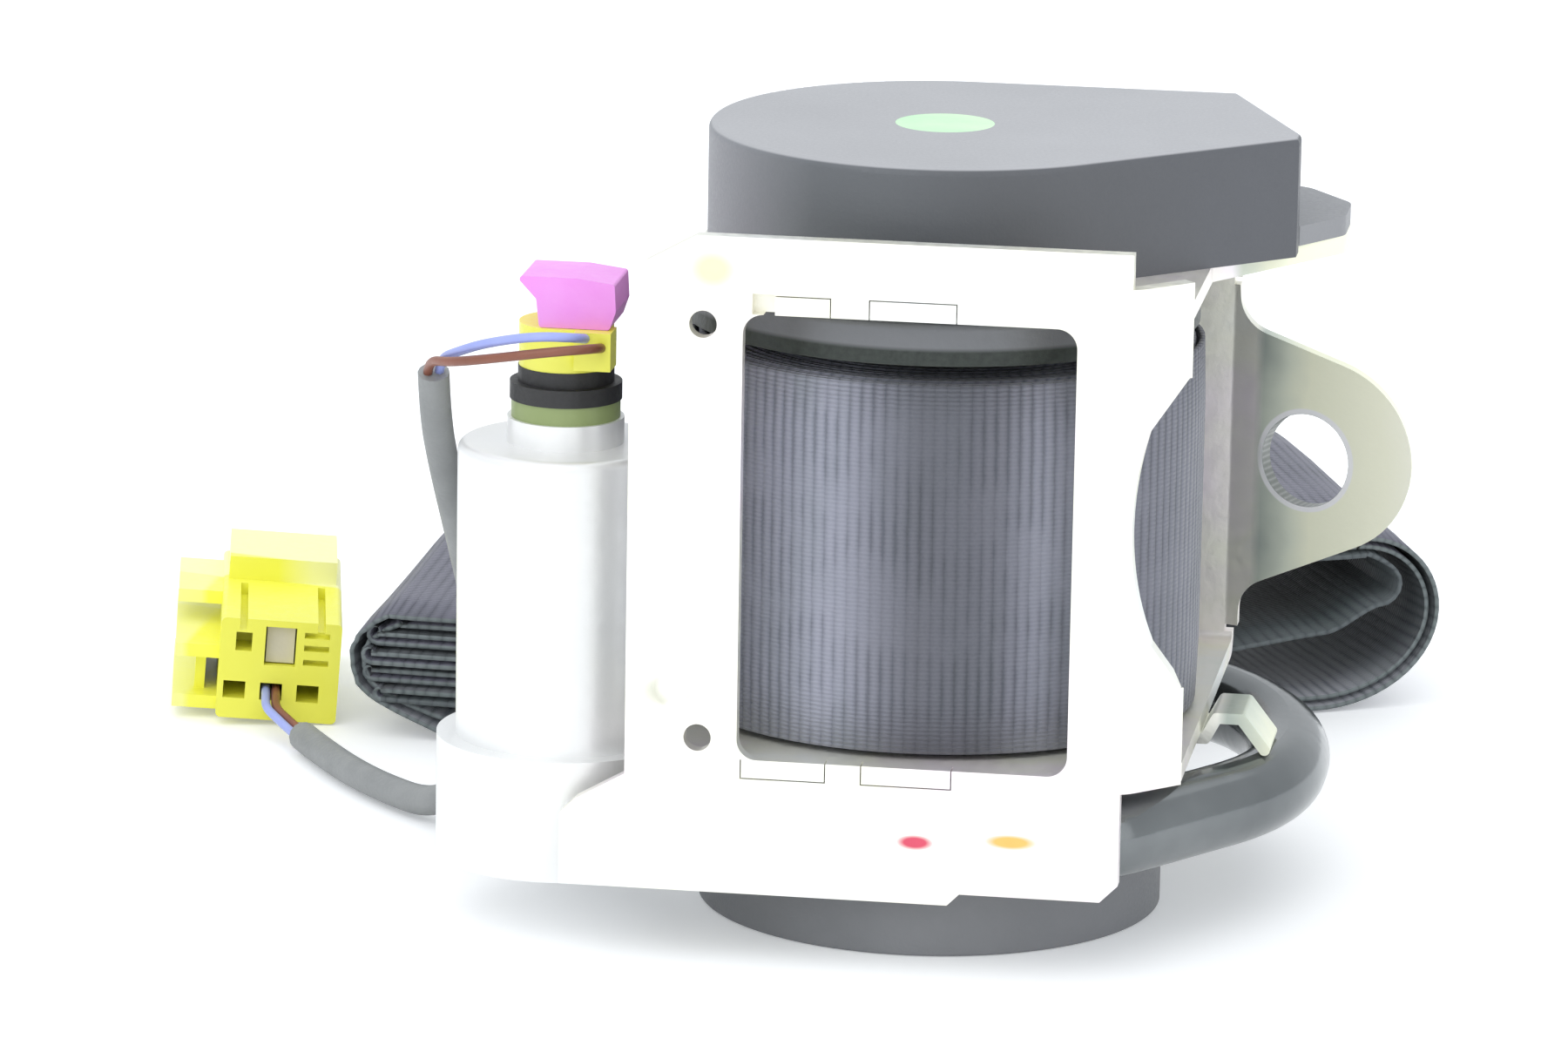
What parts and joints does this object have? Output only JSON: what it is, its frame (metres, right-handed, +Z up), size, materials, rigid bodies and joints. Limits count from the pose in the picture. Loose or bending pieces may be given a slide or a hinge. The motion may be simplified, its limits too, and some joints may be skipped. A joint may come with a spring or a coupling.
{
  "type": "seat belt retractor",
  "caption": "Locking belt retractor with pretensioner: framed webbing spool, sensor cover, drive tube, gas chamber, wired plug and folded webbing.",
  "frame": {"origin": "on the spool axis, where the face of the spring cover meets the surface it stands on", "axes": "+Z up along the spool axis, towards the mechanism cover; -Y out of the tie plate's outer face; +X towards the bolt lug"},
  "size_m": [0.1768, 0.1844, 0.0995],
  "materials": {
    "frame_steel": "zinc plated, satin",
    "tie_steel": "grey coating, satin",
    "bright_steel": "bright",
    "spring_steel": "blued strip",
    "tube_steel": "plated, smooth",
    "zinc_casting": "die cast",
    "head_casting": "die cast, dull",
    "housing_casting": "die cast",
    "chamber_metal": "plated, satin",
    "black_moulding": "moulded, matt",
    "cover_moulding": "moulded, fine grain",
    "wheel_plastic": "moulded",
    "bush_plastic": "moulded, smooth",
    "green_plastic": "moulded, smooth",
    "yellow_plastic": "moulded, smooth",
    "magenta_plastic": "moulded, smooth",
    "lock_plastic": "moulded, smooth",
    "seal_rubber": "moulded",
    "sleeve_plastic": "soft sleeving",
    "blue_wire": "wire insulation",
    "brown_wire": "wire insulation",
    "webbing": "woven polyester, ribbed"
  },
  "bodies": {
    "retractor": {"main_frame": "frame_steel", "tie_plate": "tie_steel", "mechanism_base": "black_moulding", "mechanism_cover": "cover_moulding", "cover_cap": "green_plastic", "upper_bush": "bush_plastic", "lower_bush": "bush_plastic", "sensor_housing": "wheel_plastic", "pinion_housing": "housing_casting", "housing_screws": "bright_steel", "drive_tube": "tube_steel", "drive_balls": "bright_steel", "seal_piston": "seal_rubber", "tube_bracket": "frame_steel", "gas_chamber": "chamber_metal", "gas_generator": "bright_steel", "squib_ring": "green_plastic", "squib_collar": "black_moulding", "squib_plug": "yellow_plastic", "spring_cover": "cover_moulding", "spring_lid": "black_moulding", "return_spring": "spring_steel", "harness_sleeve": "sleeve_plastic", "wire_blue": "blue_wire", "wire_brown": "brown_wire", "tail_blue": "blue_wire", "tail_brown": "brown_wire", "harness_connector": "yellow_plastic", "webbing_run": "webbing", "webbing_bundle": "webbing"},
    "spool": {"spool_drum": "zinc_casting", "webbing_pin": "bright_steel", "webbing_roll": "webbing", "torsion_bar": "bright_steel", "locking_head": "head_casting", "pawl_pin": "bright_steel", "drive_pinion": "zinc_casting", "spring_arbor": "bush_plastic"},
    "lock_pawl": {"lock_pawl": "bright_steel"},
    "lock_wheel": {"lock_wheel": "wheel_plastic"},
    "inertia_mass": {"inertia_mass": "zinc_casting"},
    "sensor_ball": {"sensor_ball": "bright_steel"},
    "sensor_lever": {"sensor_lever": "bush_plastic"},
    "squib_lock": {"squib_lock": "magenta_plastic"},
    "connector_lock": {"connector_lock": "lock_plastic"}
  },
  "joints": [
    {"name": "spool_turn", "type": "hinge", "parent": "retractor", "child": "spool", "pos_m": [0, 0, 0.05], "axis": [0, 0, 1], "continuous": true},
    {"name": "lock_wheel_lag", "type": "hinge", "parent": "spool", "child": "lock_wheel", "pos_m": [0, 0, 0.088], "axis": [0, 0, 1], "range_deg": [-15, 0]},
    {"name": "pawl_swing", "type": "hinge", "parent": "spool", "child": "lock_pawl", "pos_m": [-0.0135, -0.0115, 0.083], "axis": [0, 0, 1], "range_deg": [-10, 0]},
    {"name": "mass_swing", "type": "hinge", "parent": "lock_wheel", "child": "inertia_mass", "pos_m": [0, 0.0135, 0.088], "axis": [0, 0, 1], "range_deg": [0, 6], "stiffness_Nm_per_rad": 0.002},
    {"name": "ball_climb", "type": "slide", "parent": "retractor", "child": "sensor_ball", "axis": [-1, 0, 0], "range_m": [0, 0.0015]},
    {"name": "lever_tilt", "type": "hinge", "parent": "retractor", "child": "sensor_lever", "pos_m": [0.0301, 0.017, 0.0895], "axis": [0, 0, 1], "range_deg": [-5.96, 0]},
    {"name": "squib_lock_pull", "type": "slide", "parent": "retractor", "child": "squib_lock", "axis": [0, 0, 1], "range_m": [0, 0.003]},
    {"name": "connector_lock_pull", "type": "slide", "parent": "retractor", "child": "connector_lock", "axis": [0.2079, -0.9781, 0], "range_m": [0, 0.003]}
  ],
  "couplings": [
    {"joint": "pawl_swing", "follows": "lock_wheel_lag", "ratio": 0.66667},
    {"joint": "lever_tilt", "follows": "ball_climb", "rad_per_m": -69.3}
  ]
}
